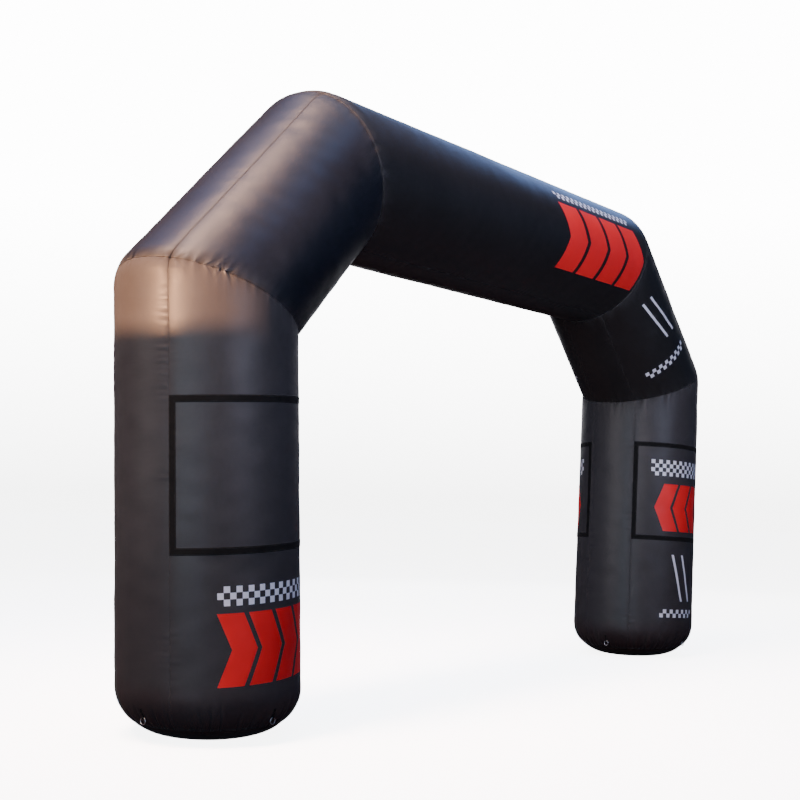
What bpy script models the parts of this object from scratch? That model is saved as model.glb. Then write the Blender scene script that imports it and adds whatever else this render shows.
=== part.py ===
import math

import bmesh
import bpy
from mathutils import Vector

# Inflatable race arch: five air-filled tube sections on two round base panels.
# Metres, Z up. X runs along the arch, the front faces -Y and the floor is Z = 0.

# Overall shape, measured on the centre line of the tubes
FOOT_HALF_SPAN = 3.020
KNEE_HALF_SPAN = 3.170
KNEE_HEIGHT = 2.780
BEAM_HALF_LENGTH = 2.100
BEAM_HEIGHT = 3.880
LEG_RADIUS = 0.600
BEAM_RADIUS = 0.585
COLUMNS = 64
GAP = 0.0003

# Base panel and the gathered cloth above its seam
FLOOR_RADIUS = 0.220
SWELL_HEIGHT = 0.311
BASE_SEAM_HEIGHT = 0.090
BASE_SEAM_PINCH = 0.005
BASE_SEAM_PLEAT = 0.35
PLEAT_DEPTH = 0.011
BASE_HEIGHTS = (0.0, 0.004, 0.015, 0.040, 0.070)
# Height of a row of points above the floor, and how much of the pleat depth it has
LEG_ROWS = (
    {"height": 0.112, "pleat": 1.00},
    {"height": 0.150, "pleat": 0.85},
    {"height": 0.200, "pleat": 0.60},
    {"height": 0.255, "pleat": 0.30},
    {"height": 0.325, "pleat": 0.00},
    {"height": 0.450, "pleat": 0.00},
)

# Mitre seams: distance of each row from the seam, and the pinch of the sewn edge
MITRE_ROWS = (0.0, 0.028, 0.085, 0.200)
SEAM_PINCH = 0.005
SEAM_PINCH_REACH = 0.060
KNEE_ROUND = 0.280
SHOULDER_ROUND = 0.360

# Lengthwise seams, as column numbers from the outer side towards the front
SEAM_GROOVE = 0.003
LEFT_SEAMS = (4, 56, 26, 34)
RIGHT_SEAMS = (28, 36, 6, 58)
TOP_SEAMS = (4, 60, 28, 36)

# Banner frames: tape sewn on the legs, angles in degrees from the outer side,
# and the distance of the lower edge from the floor along the leg
FRAME_LINE = 0.045
FRAME_THICKNESS = 0.0015
FRAME_CLEARANCE = 1.2 * GAP
FRAME_TALL = 0.975
FRAME_MIN_STEP = 0.3
BANNER_FRAMES = (
    {"name": "left_front_frame", "side": -1, "start": 22.5, "end": 146.25, "foot": 1.196},
    {"name": "left_back_frame", "side": -1, "start": -168.75, "end": -45.0, "foot": 1.196},
    {"name": "right_front_frame", "side": 1, "start": 33.6, "end": 157.4, "foot": 1.156},
    {"name": "right_back_frame", "side": 1, "start": -155.1, "end": -31.35, "foot": 1.156},
)

# Tether rings and the webbing tabs that hold them
RING_RADIUS = 0.021
RING_WIRE = 0.003
RING_CENTRE_HEIGHT = 0.143
WIRE_HEIGHT = RING_CENTRE_HEIGHT + RING_RADIUS
TAB_WIDTH = 0.016
TAB_THICKNESS = 0.0032
TAB_HEIGHTS = (0.183, 0.200, 0.222)
TAB_SLOPE = 0.002
TAB_CLEARANCE = 1.2 * GAP
EYE_INNER_RADIUS = 0.0050
EYE_OUTER_RADIUS = 0.0066
EYE_DROP = 0.0009
EYE_SIDES = 12
TETHERS = (
    {"place": "outer", "column": 0},
    {"place": "front", "column": 16},
    {"place": "inner", "column": 32},
    {"place": "back", "column": 48},
)

# Colours as seen, linear values
CHARCOAL = (0.052, 0.054, 0.060)
NEAR_BLACK = (0.010, 0.009, 0.011)
BASE_BLACK = (0.018, 0.014, 0.015)
FRAME_BLACK = (0.012, 0.011, 0.012)
TAB_BLACK = (0.014, 0.013, 0.014)
STEEL = (0.62, 0.62, 0.63)

FRONT = Vector((0.0, -1.0, 0.0))
UP = Vector((0.0, 0.0, 1.0))

for old in list(bpy.data.objects):
    bpy.data.objects.remove(old, do_unlink=True)


def make_material(name, colour, roughness, metallic):
    material = bpy.data.materials.new(name)
    material.use_nodes = True
    shader = material.node_tree.nodes["Principled BSDF"]
    shader.inputs["Base Color"].default_value = (*colour, 1.0)
    shader.inputs["Roughness"].default_value = roughness
    shader.inputs["Metallic"].default_value = metallic
    return material


def add_object(name, mesh_body, origin, material):
    """Close a bmesh into a named object whose origin is at the given point."""
    bmesh.ops.recalc_face_normals(mesh_body, faces=mesh_body.faces)
    for vertex in mesh_body.verts:
        vertex.co -= origin
    mesh = bpy.data.meshes.new(name)
    mesh_body.to_mesh(mesh)
    mesh_body.free()
    mesh.shade_smooth()
    mesh.set_sharp_from_angle(angle=math.radians(35))
    mesh.materials.append(material)
    item = bpy.data.objects.new(name, mesh)
    item.location = origin
    item.parent = arch_root
    bpy.context.scene.collection.objects.link(item)
    return item


def mirrored(point, side):
    """Left-hand points become right-hand ones for side 1."""
    return Vector((-side * point.x, point.y, point.z))


def column_angle(column):
    return 2.0 * math.pi * column / COLUMNS


def outward(direction):
    """The direction in the arch's plane that points away from the passage."""
    return Vector((-direction.z, 0.0, direction.x))


def plane_row(start, direction, radii, plane_point, plane_normal):
    """A closed row of points where the tube's columns meet a plane."""
    out = outward(direction)
    row = []
    for column, radius in enumerate(radii):
        angle = column_angle(column)
        base = start + radius * (math.cos(angle) * out + math.sin(angle) * FRONT)
        along = (plane_point - base).dot(plane_normal) / direction.dot(plane_normal)
        row.append(base + along * direction)
    return row


def corner_pull(column, distance, corner_round, turn):
    """How far cloth near a mitre seam lies inside the plain tube."""
    facing = max(0.0, math.cos(column_angle(column)))
    reach = 0.93 * corner_round * math.tan(turn / 2.0)
    inside = max(0.0, reach - distance)
    rounding = corner_round - math.sqrt(corner_round**2 - inside**2)
    pinch = SEAM_PINCH * max(0.0, 1.0 - distance / SEAM_PINCH_REACH)
    return rounding * facing**2 + pinch


def mitre_radii(radius, distance, corner_round, turn, seams):
    radii = []
    for column in range(COLUMNS):
        groove = SEAM_GROOVE if column in seams else 0.0
        radii.append(radius - corner_pull(column, distance, corner_round, turn) - groove)
    return radii


def swell_radius(height):
    """Radius of the rounded base at a height above the floor."""
    share = min(1.0, height / SWELL_HEIGHT)
    return FLOOR_RADIUS + (LEG_RADIUS - FLOOR_RADIUS) * math.sqrt(1.0 - (1.0 - share) ** 2)


def pleat(column):
    """Gathers lie in every second column, and no two are quite alike."""
    if column % 2 == 0:
        return 0.0
    return 0.62 + 0.38 * math.sin(2.4 * column)


def leg_radii(height, pleat_share, seams):
    radii = []
    for column in range(COLUMNS):
        groove = SEAM_GROOVE if column in seams else 0.0
        radii.append(swell_radius(height) - pleat_share * PLEAT_DEPTH * pleat(column) - groove)
    return radii


def tube_from_rows(rows):
    """Join rows of points into one closed body with flat ends."""
    body = bmesh.new()
    rings = []
    for row in rows:
        rings.append([body.verts.new(point) for point in row])
    for low, high in zip(rings, rings[1:]):
        for column in range(len(low)):
            following = (column + 1) % len(low)
            body.faces.new((low[column], low[following], high[following], high[column]))
    body.faces.new(rings[0])
    body.faces.new(rings[-1])
    return body


foot = Vector((-FOOT_HALF_SPAN, 0.0, 0.0))
knee = Vector((-KNEE_HALF_SPAN, 0.0, KNEE_HEIGHT))
shoulder = Vector((-BEAM_HALF_LENGTH, 0.0, BEAM_HEIGHT))
leg_direction = (knee - foot).normalized()
slant_direction = (shoulder - knee).normalized()
beam_direction = Vector((1.0, 0.0, 0.0))
knee_normal = (leg_direction + slant_direction).normalized()
shoulder_normal = (slant_direction + beam_direction).normalized()
knee_turn = leg_direction.angle(slant_direction)
shoulder_turn = slant_direction.angle(beam_direction)


def axis_point(height):
    """The left leg's centre line at a height above the floor."""
    return foot + leg_direction * (height / leg_direction.z)


def level_row(height, radii):
    return plane_row(foot, leg_direction, radii, Vector((0.0, 0.0, height)), UP)


def mitre_rows(start, direction, joint, normal, away, radius, corner_round, turn, seams):
    """Rows of a tube near a mitre seam, from the seam outwards along its axis."""
    rows = []
    for distance in MITRE_ROWS:
        plane_point = joint + away * (GAP / 2.0 * normal + distance * direction)
        radii = mitre_radii(radius, distance, corner_round, turn, seams)
        rows.append(plane_row(start, direction, radii, plane_point, normal))
    return rows


def leg_rows(seams):
    seam_height = BASE_SEAM_HEIGHT + GAP / 2.0
    pinched = [radius - BASE_SEAM_PINCH
               for radius in leg_radii(seam_height, BASE_SEAM_PLEAT, seams)]
    rows = [level_row(seam_height, pinched)]
    for row in LEG_ROWS:
        rows.append(level_row(row["height"], leg_radii(row["height"], row["pleat"], seams)))
    top = mitre_rows(foot, leg_direction, knee, knee_normal, -1.0,
                     LEG_RADIUS, KNEE_ROUND, knee_turn, seams)
    return rows + top[::-1]


def base_rows():
    rows = []
    for height in BASE_HEIGHTS:
        rows.append(level_row(height, [swell_radius(height)] * COLUMNS))
    seam_height = BASE_SEAM_HEIGHT - GAP / 2.0
    rows.append(level_row(seam_height, [swell_radius(seam_height) - BASE_SEAM_PINCH] * COLUMNS))
    return rows


def slant_rows():
    low = mitre_rows(knee, slant_direction, knee, knee_normal, 1.0,
                     LEG_RADIUS, KNEE_ROUND, knee_turn, TOP_SEAMS)
    high = mitre_rows(knee, slant_direction, shoulder, shoulder_normal, -1.0,
                      BEAM_RADIUS, SHOULDER_ROUND, shoulder_turn, TOP_SEAMS)
    return low + high[::-1]


def beam_half_rows():
    return mitre_rows(shoulder, beam_direction, shoulder, shoulder_normal, 1.0,
                      BEAM_RADIUS, SHOULDER_ROUND, shoulder_turn, TOP_SEAMS)


def turned_over(rows):
    """The same rows on the right-hand side of the arch."""
    return [[mirrored(point, 1) for point in row] for row in rows]


def wall_radius(angle, seams):
    """Distance from the leg's axis to its flat-sided wall at any angle."""
    step = 2.0 * math.pi / COLUMNS
    place = (angle / step) % COLUMNS
    column = int(place + 1e-9) % COLUMNS
    corners = []
    for number in (column, (column + 1) % COLUMNS):
        radius = LEG_RADIUS - (SEAM_GROOVE if number in seams else 0.0)
        corners.append(radius)
    turn = (place - int(place + 1e-9)) * step
    first = Vector((corners[0], 0.0))
    second = Vector((corners[1] * math.cos(step), corners[1] * math.sin(step)))
    ray = Vector((math.cos(turn), math.sin(turn)))
    chord = second - first
    cross = ray.x * chord.y - ray.y * chord.x
    return (first.x * chord.y - first.y * chord.x) / cross


def frame_angles(row):
    """Angles of a frame's columns: its edges, its line widths and the wall's own columns."""
    line = math.degrees(FRAME_LINE / LEG_RADIUS)
    edges = [row["start"], row["start"] + line, row["end"] - line, row["end"]]
    angles = list(edges)
    for number in range(-COLUMNS, COLUMNS):
        angle = 360.0 * number / COLUMNS
        apart = all(abs(angle - edge) > FRAME_MIN_STEP for edge in edges)
        if row["start"] < angle < row["end"] and apart:
            angles.append(angle)
    angles.sort()
    return angles, angles.index(edges[1]), angles.index(edges[2])


def frame_body(row, seams):
    """A flat rectangle of tape that follows the leg's wall."""
    angles, left, right = frame_angles(row)
    heights = (row["foot"], row["foot"] + FRAME_LINE,
               row["foot"] + FRAME_TALL - FRAME_LINE, row["foot"] + FRAME_TALL)
    out = outward(leg_direction)
    body = bmesh.new()
    grid = {}
    for layer, stand_off in enumerate((FRAME_CLEARANCE, FRAME_CLEARANCE + FRAME_THICKNESS)):
        for column, angle in enumerate(angles):
            turn = math.radians(angle)
            radius = wall_radius(turn, seams) + stand_off
            across = radius * (math.cos(turn) * out + math.sin(turn) * FRONT)
            for level, height in enumerate(heights):
                point = foot + leg_direction * height + across
                grid[layer, column, level] = body.verts.new(mirrored(point, row["side"]))
    cells = []
    for column in range(len(angles) - 1):
        for level in range(3):
            if level != 1 or column < left or column >= right:
                cells.append((column, level))
    corners = ((0, 0), (1, 0), (1, 1), (0, 1))
    beside = ((0, -1), (1, 0), (0, 1), (-1, 0))
    for column, level in cells:
        around = [(column + i, level + j) for i, j in corners]
        for layer in (0, 1):
            body.faces.new([grid[layer, *corner] for corner in around])
        for number, (i, j) in enumerate(beside):
            if (column + i, level + j) not in cells:
                first = around[number]
                second = around[(number + 1) % 4]
                body.faces.new((grid[0, *first], grid[0, *second],
                                grid[1, *second], grid[1, *first]))
    return body


def wall_at(height, column):
    """Level distance from the axis to the wall on a ridge column, straight between its rows."""
    rows = [(BASE_SEAM_HEIGHT, swell_radius(BASE_SEAM_HEIGHT) - BASE_SEAM_PINCH)]
    rows += [(row["height"], swell_radius(row["height"])) for row in LEG_ROWS]
    stretch = 1.0 / leg_direction.z if column % (COLUMNS // 2) == 0 else 1.0
    for (low, low_radius), (high, high_radius) in zip(rows, rows[1:]):
        if low <= height <= high:
            radius = low_radius + (high_radius - low_radius) * (height - low) / (high - low)
            return radius * stretch
    return LEG_RADIUS * stretch


def ring_reach(column):
    """Level distance from the axis to a ring, so that its tab's eye just clears the wall."""
    needed = []
    for step in range(-6, 7):
        shift = step * 0.001
        eye = math.sqrt(max(0.0, (EYE_OUTER_RADIUS + TAB_CLEARANCE) ** 2 - shift**2))
        needed.append(wall_at(WIRE_HEIGHT - EYE_DROP + shift, column) + eye)
    return max(needed)


def tab_section(column):
    """Side view of a tab: an eye round the ring's wire and a strip up the wall."""
    centre = (ring_reach(column), WIRE_HEIGHT - EYE_DROP)
    inner = []
    outer = []
    for number in range(EYE_SIDES):
        angle = 2.0 * math.pi * (number + 0.5) / EYE_SIDES
        inner.append((centre[0] + EYE_INNER_RADIUS * math.cos(angle),
                      centre[1] + EYE_INNER_RADIUS * math.sin(angle)))
        outer.append((centre[0] + EYE_OUTER_RADIUS * math.cos(angle),
                      centre[1] + EYE_OUTER_RADIUS * math.sin(angle)))
    strip = []
    for height in TAB_HEIGHTS:
        near = wall_at(height, column) + TAB_CLEARANCE
        strip.append(((near + TAB_THICKNESS, height - TAB_SLOPE), (near, height)))
    return inner, outer, strip


def tab_body(column, side):
    """The tab's side view given its width, on the wall at a ridge column."""
    inner, outer, strip = tab_section(column)
    angle = column_angle(column)
    out = Vector((-math.cos(angle), -math.sin(angle), 0.0))
    across = Vector((-out.y, out.x, 0.0))
    body = bmesh.new()

    def place(point, shift):
        centre = axis_point(point[1])
        spot = Vector((centre.x, 0.0, point[1])) + out * point[0] + across * shift
        return body.verts.new(mirrored(spot, side))

    layers = []
    for shift in (-TAB_WIDTH / 2.0, TAB_WIDTH / 2.0):
        layers.append({
            "inner": [place(point, shift) for point in inner],
            "outer": [place(point, shift) for point in outer],
            "strip": [[place(point, shift) for point in pair] for pair in strip],
        })
    join = EYE_SIDES // 4
    for layer in layers:
        for number in range(EYE_SIDES):
            following = (number + 1) % EYE_SIDES
            body.faces.new((layer["inner"][number], layer["inner"][following],
                            layer["outer"][following], layer["outer"][number]))
        pairs = [(layer["outer"][join], layer["outer"][join + 1])] + layer["strip"]
        for low, high in zip(pairs, pairs[1:]):
            body.faces.new((low[0], low[1], high[1], high[0]))
        layer["pairs"] = pairs
    near, far = layers
    for number in range(EYE_SIDES):
        following = (number + 1) % EYE_SIDES
        body.faces.new((near["inner"][number], near["inner"][following],
                        far["inner"][following], far["inner"][number]))
        if number != join:
            body.faces.new((near["outer"][number], near["outer"][following],
                            far["outer"][following], far["outer"][number]))
    for number in range(len(near["pairs"]) - 1):
        for edge in (0, 1):
            body.faces.new((near["pairs"][number][edge], near["pairs"][number + 1][edge],
                            far["pairs"][number + 1][edge], far["pairs"][number][edge]))
    body.faces.new((near["pairs"][-1][0], near["pairs"][-1][1],
                    far["pairs"][-1][1], far["pairs"][-1][0]))
    return body


def add_ring(name, column, side, material):
    """A round wire ring that hangs from its tab."""
    angle = column_angle(column)
    out = Vector((-math.cos(angle), -math.sin(angle), 0.0))
    hang = axis_point(WIRE_HEIGHT - EYE_DROP)
    centre = Vector((hang.x, 0.0, RING_CENTRE_HEIGHT)) + out * ring_reach(column)
    bpy.ops.mesh.primitive_torus_add(
        major_radius=RING_RADIUS, minor_radius=RING_WIRE, major_segments=20, minor_segments=6,
    )
    ring = bpy.context.object
    ring.name = name
    ring.data.name = name
    ring.rotation_euler = out.to_track_quat("Z", "Y").to_euler()
    ring.location = mirrored(centre, side)
    ring.data.shade_smooth()
    ring.data.materials.append(material)
    ring.parent = arch_root


charcoal_cloth = make_material("charcoal_cloth", CHARCOAL, 0.55, 0.0)
black_cloth = make_material("black_cloth", NEAR_BLACK, 0.45, 0.0)
base_cloth = make_material("base_cloth", BASE_BLACK, 0.60, 0.0)
frame_webbing = make_material("frame_webbing", FRAME_BLACK, 0.75, 0.0)
tab_webbing = make_material("tab_webbing", TAB_BLACK, 0.75, 0.0)
ring_steel = make_material("ring_steel", STEEL, 0.32, 1.0)

arch_root = bpy.data.objects.new("arch_root", None)
bpy.context.scene.collection.objects.link(arch_root)

# Filled tube sections and the two base panels
add_object("left_leg", tube_from_rows(leg_rows(LEFT_SEAMS)), foot, charcoal_cloth)
add_object("right_leg", tube_from_rows(turned_over(leg_rows(RIGHT_SEAMS))),
           mirrored(foot, 1), charcoal_cloth)
add_object("left_base", tube_from_rows(base_rows()), foot, base_cloth)
add_object("right_base", tube_from_rows(turned_over(base_rows())), mirrored(foot, 1), base_cloth)
add_object("left_slant", tube_from_rows(slant_rows()), knee, black_cloth)
add_object("right_slant", tube_from_rows(turned_over(slant_rows())),
           mirrored(knee, 1), black_cloth)
left_half = beam_half_rows()
add_object("top_beam", tube_from_rows(left_half + turned_over(left_half)[::-1]),
           Vector((0.0, 0.0, BEAM_HEIGHT)), black_cloth)

# Banner frames on the legs
for banner in BANNER_FRAMES:
    leg_seams = LEFT_SEAMS if banner["side"] < 0 else RIGHT_SEAMS
    origin = mirrored(axis_point(banner["foot"]), banner["side"])
    add_object(banner["name"], frame_body(banner, leg_seams), origin, frame_webbing)

# Tether rings and their tabs, four to a leg
for side_name, side_sign in (("left", -1), ("right", 1)):
    for tether in TETHERS:
        label = side_name + "_" + tether["place"]
        hang = mirrored(axis_point(WIRE_HEIGHT), side_sign)
        add_object(label + "_tab", tab_body(tether["column"], side_sign), hang, tab_webbing)
        add_ring(label + "_ring", tether["column"], side_sign, ring_steel)
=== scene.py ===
import math
import bmesh
import bpy
import numpy as np
from mathutils import Matrix, Vector


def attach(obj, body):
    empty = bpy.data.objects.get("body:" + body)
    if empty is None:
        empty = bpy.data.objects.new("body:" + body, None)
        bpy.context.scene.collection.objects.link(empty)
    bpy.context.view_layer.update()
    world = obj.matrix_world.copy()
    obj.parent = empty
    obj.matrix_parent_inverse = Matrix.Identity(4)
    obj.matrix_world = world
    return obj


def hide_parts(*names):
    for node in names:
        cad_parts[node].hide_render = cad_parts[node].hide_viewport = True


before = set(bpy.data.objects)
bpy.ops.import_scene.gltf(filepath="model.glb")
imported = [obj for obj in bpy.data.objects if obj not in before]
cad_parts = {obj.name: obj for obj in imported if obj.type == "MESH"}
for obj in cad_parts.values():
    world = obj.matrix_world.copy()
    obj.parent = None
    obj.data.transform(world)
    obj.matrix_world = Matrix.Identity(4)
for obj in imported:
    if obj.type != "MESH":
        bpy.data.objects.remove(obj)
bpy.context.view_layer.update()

# centre lines of the tubes and their radii, in metres
arch = {
    "footHalfSpan": 3.020,
    "kneeHalfSpan": 3.170,
    "kneeHeight": 2.780,
    "beamHalfLength": 2.100,
    "beamHeight": 3.880,
    "legRadius": 0.600,
    "beamRadius": 0.585,
    "seamGap": 0.0003,
}

tau = 2.0 * math.pi
front = np.array([0.0, -1.0, 0.0])
up = np.array([0.0, 0.0, 1.0])


def operator(operation, swapped=False):
    # one sum of the class below; swapped puts the wire last
    def act(self, *others):
        values = (*others, self) if swapped else (self, *others)
        return self.maths(operation, *values)
    return act


# node trees as expressions: one class for shader and geometry sockets
class Wire:
    def __init__(self, tree, socket=None):
        self.tree = tree
        self.socket = socket

    def make(self, kind, settings=None, sockets=None, out=0):
        node = self.tree.nodes.new(kind)
        for name, value in (settings or {}).items():  # settings first, they change the sockets
            setattr(node, name, value)
        for name, value in (sockets or {}).items():
            if isinstance(value, Wire):
                self.tree.links.new(value.socket, node.inputs[name])
            else:
                node.inputs[name].default_value = value
        return Wire(self.tree, node.outputs[out] if len(node.outputs) > out else None)

    def port(self, number):
        return Wire(self.tree, self.socket.node.outputs[number])

    def maths(self, operation, *values):
        return self.make("ShaderNodeMath", {"operation": operation}, dict(enumerate(values)))

    __add__ = operator("ADD")
    __radd__ = operator("ADD", True)
    __sub__ = operator("SUBTRACT")
    __rsub__ = operator("SUBTRACT", True)
    __mul__ = operator("MULTIPLY")
    __rmul__ = operator("MULTIPLY", True)
    __truediv__ = operator("DIVIDE")
    __lt__ = operator("LESS_THAN")
    __gt__ = operator("GREATER_THAN")
    sin = operator("SINE")
    size = operator("ABSOLUTE")
    floor = operator("FLOOR")
    fract = operator("FRACT")

    def between(self, low, high):
        return (self > low) * (self < high)

    def remap(self, low, high, newLow, newHigh):
        return self.make("ShaderNodeMapRange", {}, {
            "Value": self, "From Min": low, "From Max": high, "To Min": newLow, "To Max": newHigh,
        })

    def blend(self, first, second):
        return self.make("ShaderNodeMix", {"data_type": "RGBA"}, {0: self, 6: first, 7: second}, 2)


# shapes
def unit(v):
    return v / np.linalg.norm(v)


def waves(seed, count, low, high, power=0.0):
    # a smooth repeating ripple round a tube, from whole-number waves
    picker = np.random.default_rng(seed)
    turns = picker.integers(low, high + 1, count)
    phases = picker.uniform(0, tau, count)
    sizes = picker.uniform(0.5, 1.0, count) / turns**power
    sizes = sizes / np.sqrt((sizes**2).sum() / 2)

    def ripple(theta):
        total = np.zeros_like(theta)
        for turn, phase, size in zip(turns, phases, sizes):
            total += size * np.sin(turn * theta + phase)
        return total
    return ripple


def surfaceNoise(seed, count, roundLow, roundHigh, alongLow, alongHigh):
    # ripples that run both round a tube and along it
    picker = np.random.default_rng(seed)
    turns = picker.integers(roundLow, roundHigh + 1, count)
    alongs = tau / picker.uniform(alongLow, alongHigh, count) * picker.choice([-1, 1], count)
    phases = picker.uniform(0, tau, count)

    def ripple(theta, along):
        total = np.zeros(np.broadcast(theta, along).shape)
        for turn, pace, phase in zip(turns, alongs, phases):
            total += np.sin(turn * theta + pace * along + phase)
        return total * math.sqrt(2.0 / count)
    return ripple


def smooth(value, low, high):
    t = np.clip((value - low) / (high - low), 0.0, 1.0)
    return t * t * (3.0 - 2.0 * t)


def wrapped(angle):
    return (angle + math.pi) % tau - math.pi


foot = np.array([-arch["footHalfSpan"], 0.0, 0.0])
knee = np.array([-arch["kneeHalfSpan"], 0.0, arch["kneeHeight"]])
shoulder = np.array([-arch["beamHalfLength"], 0.0, arch["beamHeight"]])
farShoulder = shoulder * np.array([-1.0, 1.0, 1.0])
legLine = unit(knee - foot)
slantLine = unit(shoulder - knee)
beamLine = np.array([1.0, 0.0, 0.0])
kneeNormal = unit(legLine + slantLine)
shoulderNormal = unit(slantLine + beamLine)
kneeTurn = math.acos(float(legLine @ slantLine))
shoulderTurn = math.acos(float(slantLine @ beamLine))

# how sewn edges, gathers and creases shape the cloth, in metres
cloth = {
    "kneeRound": 0.280,
    "shoulderRound": 0.360,
    "lipRadius": 0.0045,
    "pinchDepth": 0.004,
    "pinchReach": 0.045,
    "seamDepth": 0.0019,
    "seamWidth": 0.0024,
    "seamDip": 0.0013,
    "seamDipWidth": 0.030,
    "puckerDepth": 0.0011,
    "puckerReach": 0.055,
    "mitrePucker": 0.0022,
    "mitreReach": 0.060,
    "puckerShift": 0.018,
    "endReach": 0.03,
    "swayDepth": 0.0022,
    "swayShares": (0.50, 0.34),
    "calmReach": (0.02, 0.25),
    "deepFold": 0.010,
    "crossingAngles": (22.5, -22.5),
    "crossingWidth": 0.05,
    "crossingDepth": 0.012,
    "crossingReach": 0.075,
}

base = {
    "floorRadius": 0.220,
    "swellHeight": 0.311,
    "seamHeight": 0.090,
    "seamPinch": 0.006,
    "pinchReach": 0.02,
    "calmRise": (0.05, 0.30),
    "heldWidth": 0.030,
    "heldFrom": (0.02, 0.06),
    "heldTo": (0.15, 0.22),
    "pleats": 52,
    "pleatDepth": (0.004, 0.0130),
    "pleatWidth": (0.010, 0.024),
    "pleatTall": (0.090, 0.300),
    "pleatLean": 0.16,
    "heldRows": (0.090, 0.112, 0.150, 0.200, 0.255, 0.325),
}


def swell(height):
    share = np.clip(height / base["swellHeight"], 0.0, 1.0)
    reach = arch["legRadius"] - base["floorRadius"]
    return base["floorRadius"] + reach * np.sqrt(1.0 - (1.0 - share) ** 2)


def pleatTable(seed):
    picker = np.random.default_rng(seed)
    count = base["pleats"]
    return {
        "angle": (np.arange(count) + picker.uniform(-0.38, 0.38, count)) * tau / count,
        "depth": picker.uniform(*base["pleatDepth"], count),
        "width": picker.uniform(*base["pleatWidth"], count),
        "tall": picker.uniform(*base["pleatTall"], count),
        "lean": picker.uniform(-1.0, 1.0, count) * base["pleatLean"],
    }


def pleatDepth(table, theta, rise):
    # gathers: a sharp valley with a rounded ridge on each side
    total = np.zeros(np.broadcast(theta, rise).shape)
    for angle, depth, width, tall, lean in zip(*table.values()):
        shift = wrapped(theta - angle - lean * rise) * arch["legRadius"]
        fade = (1.0 - smooth(rise, 0.15 * tall, tall)) * (0.45 + 0.55 * smooth(rise, 0.0, 0.018))
        spread = width * (0.6 + 0.8 * rise / tall)
        valley = np.exp(-np.abs(shift / spread) ** 1.4)
        ridge = np.exp(-((np.abs(shift) - 2.0 * spread) / spread) ** 2)
        total += depth * fade * (valley - 0.30 * ridge)
    return total


def mitrePull(theta, distance, rounding, turn):
    # the cloth rounds over at the outer corner of a mitre
    facing = np.maximum(0.0, np.cos(theta))
    reach = 0.93 * rounding * math.tan(turn / 2.0)
    inside = np.maximum(0.0, reach - distance)
    return (rounding - np.sqrt(rounding**2 - inside**2)) * facing**2


def lip(distance):
    # the sewn edge turns in over a small radius
    radius = cloth["lipRadius"]
    inside = np.clip(1.0 - distance / radius, 0.0, 1.0)
    return radius * (1.0 - np.sqrt(1.0 - inside**2))


# each sewn joint: where the cloth crumples most, how hard the seams that cross it pull, and
# single tucks as angle, depth, width, reach and lean
joints = {
    "leftKnee": {"crumple": (0.95, 0.16), "crossing": 0.4, "seed": 11, "tucks": (
        (43.5, -0.003, 0.010, 0.030, 0.9), (46.0, 0.004, 0.007, 0.034, 0.5),
        (48.2, -0.005, 0.006, 0.028, 0.9), (51.5, 0.004, 0.008, 0.028, 0.2),
        (54.0, 0.005, 0.006, 0.036, -0.5), (56.0, -0.006, 0.006, 0.024, 0.5),
        (58.0, 0.003, 0.006, 0.030, 0.9), (60.5, -0.003, 0.008, 0.024, 0.2),
        (22.5, 0.012, 0.006, 0.030, 0.0), (20.0, -0.005, 0.006, 0.030, -0.5),
        (18.0, 0.005, 0.005, 0.034, -0.9), (25.0, -0.005, 0.006, 0.030, 0.5),
        (27.0, 0.005, 0.005, 0.034, 1.0))},
    "rightKnee": {"crumple": (2.2, 0.2), "crossing": 0.7, "seed": 17},
    "leftShoulder": {"crumple": (-0.5, 0.2), "crossing": 0.3, "seed": 23},
    "rightShoulder": {"crumple": (2.6, 0.2), "crossing": 0.3, "seed": 29},
}
for name, joint in joints.items():
    isKnee = name.endswith("Knee")
    joint["round"] = cloth["kneeRound" if isKnee else "shoulderRound"]
    joint["turn"] = kneeTurn if isKnee else shoulderTurn
    joint["ripple"] = waves(joint["seed"], 26, 18, 74, 0.25)
    joint["strength"] = waves(joint["seed"] + 1, 6, 1, 7)


def jointPull(name, theta, distance):
    # returns the corner's rounding and the finer creases apart
    joint = joints[name]
    pinch = cloth["pinchDepth"] * np.exp(-distance / cloth["pinchReach"])
    where, width = joint["crumple"]
    crumple = np.exp(-(wrapped(theta - where) / width) ** 2)
    crossing = 0.0
    for angle in cloth["crossingAngles"]:
        near = np.exp(-(wrapped(theta - math.radians(angle)) / cloth["crossingWidth"]) ** 2)
        crossing = crossing + joint["crossing"] * near
    inner = 0.5 * (1.0 - np.cos(theta))
    loud = 0.45 + 0.30 * joint["strength"](theta) + 0.55 * inner + 1.1 * crumple
    pucker = cloth["mitrePucker"] * np.maximum(0.1, loud) * joint["ripple"](theta)
    fade = np.exp(-distance / (cloth["mitreReach"] * (0.6 + 0.4 * inner)))
    crease = cloth["crossingDepth"] * crossing * np.exp(-distance / cloth["crossingReach"])
    for angle, depth, width, reach, lean in joint.get("tucks", ()):
        shift = wrapped(theta - math.radians(angle)) * arch["legRadius"] - lean * distance
        crease = crease + depth * np.exp(-(shift / width) ** 2) * np.exp(-distance / reach)
    corner = mitrePull(theta, distance, joint["round"], joint["turn"])
    return corner, pinch + lip(distance) + pucker * fade + crease


evenSeams = (22.5, -22.5, 157.5, -157.5)
kneeSpot = ((26, 66), (41, 66))
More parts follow.
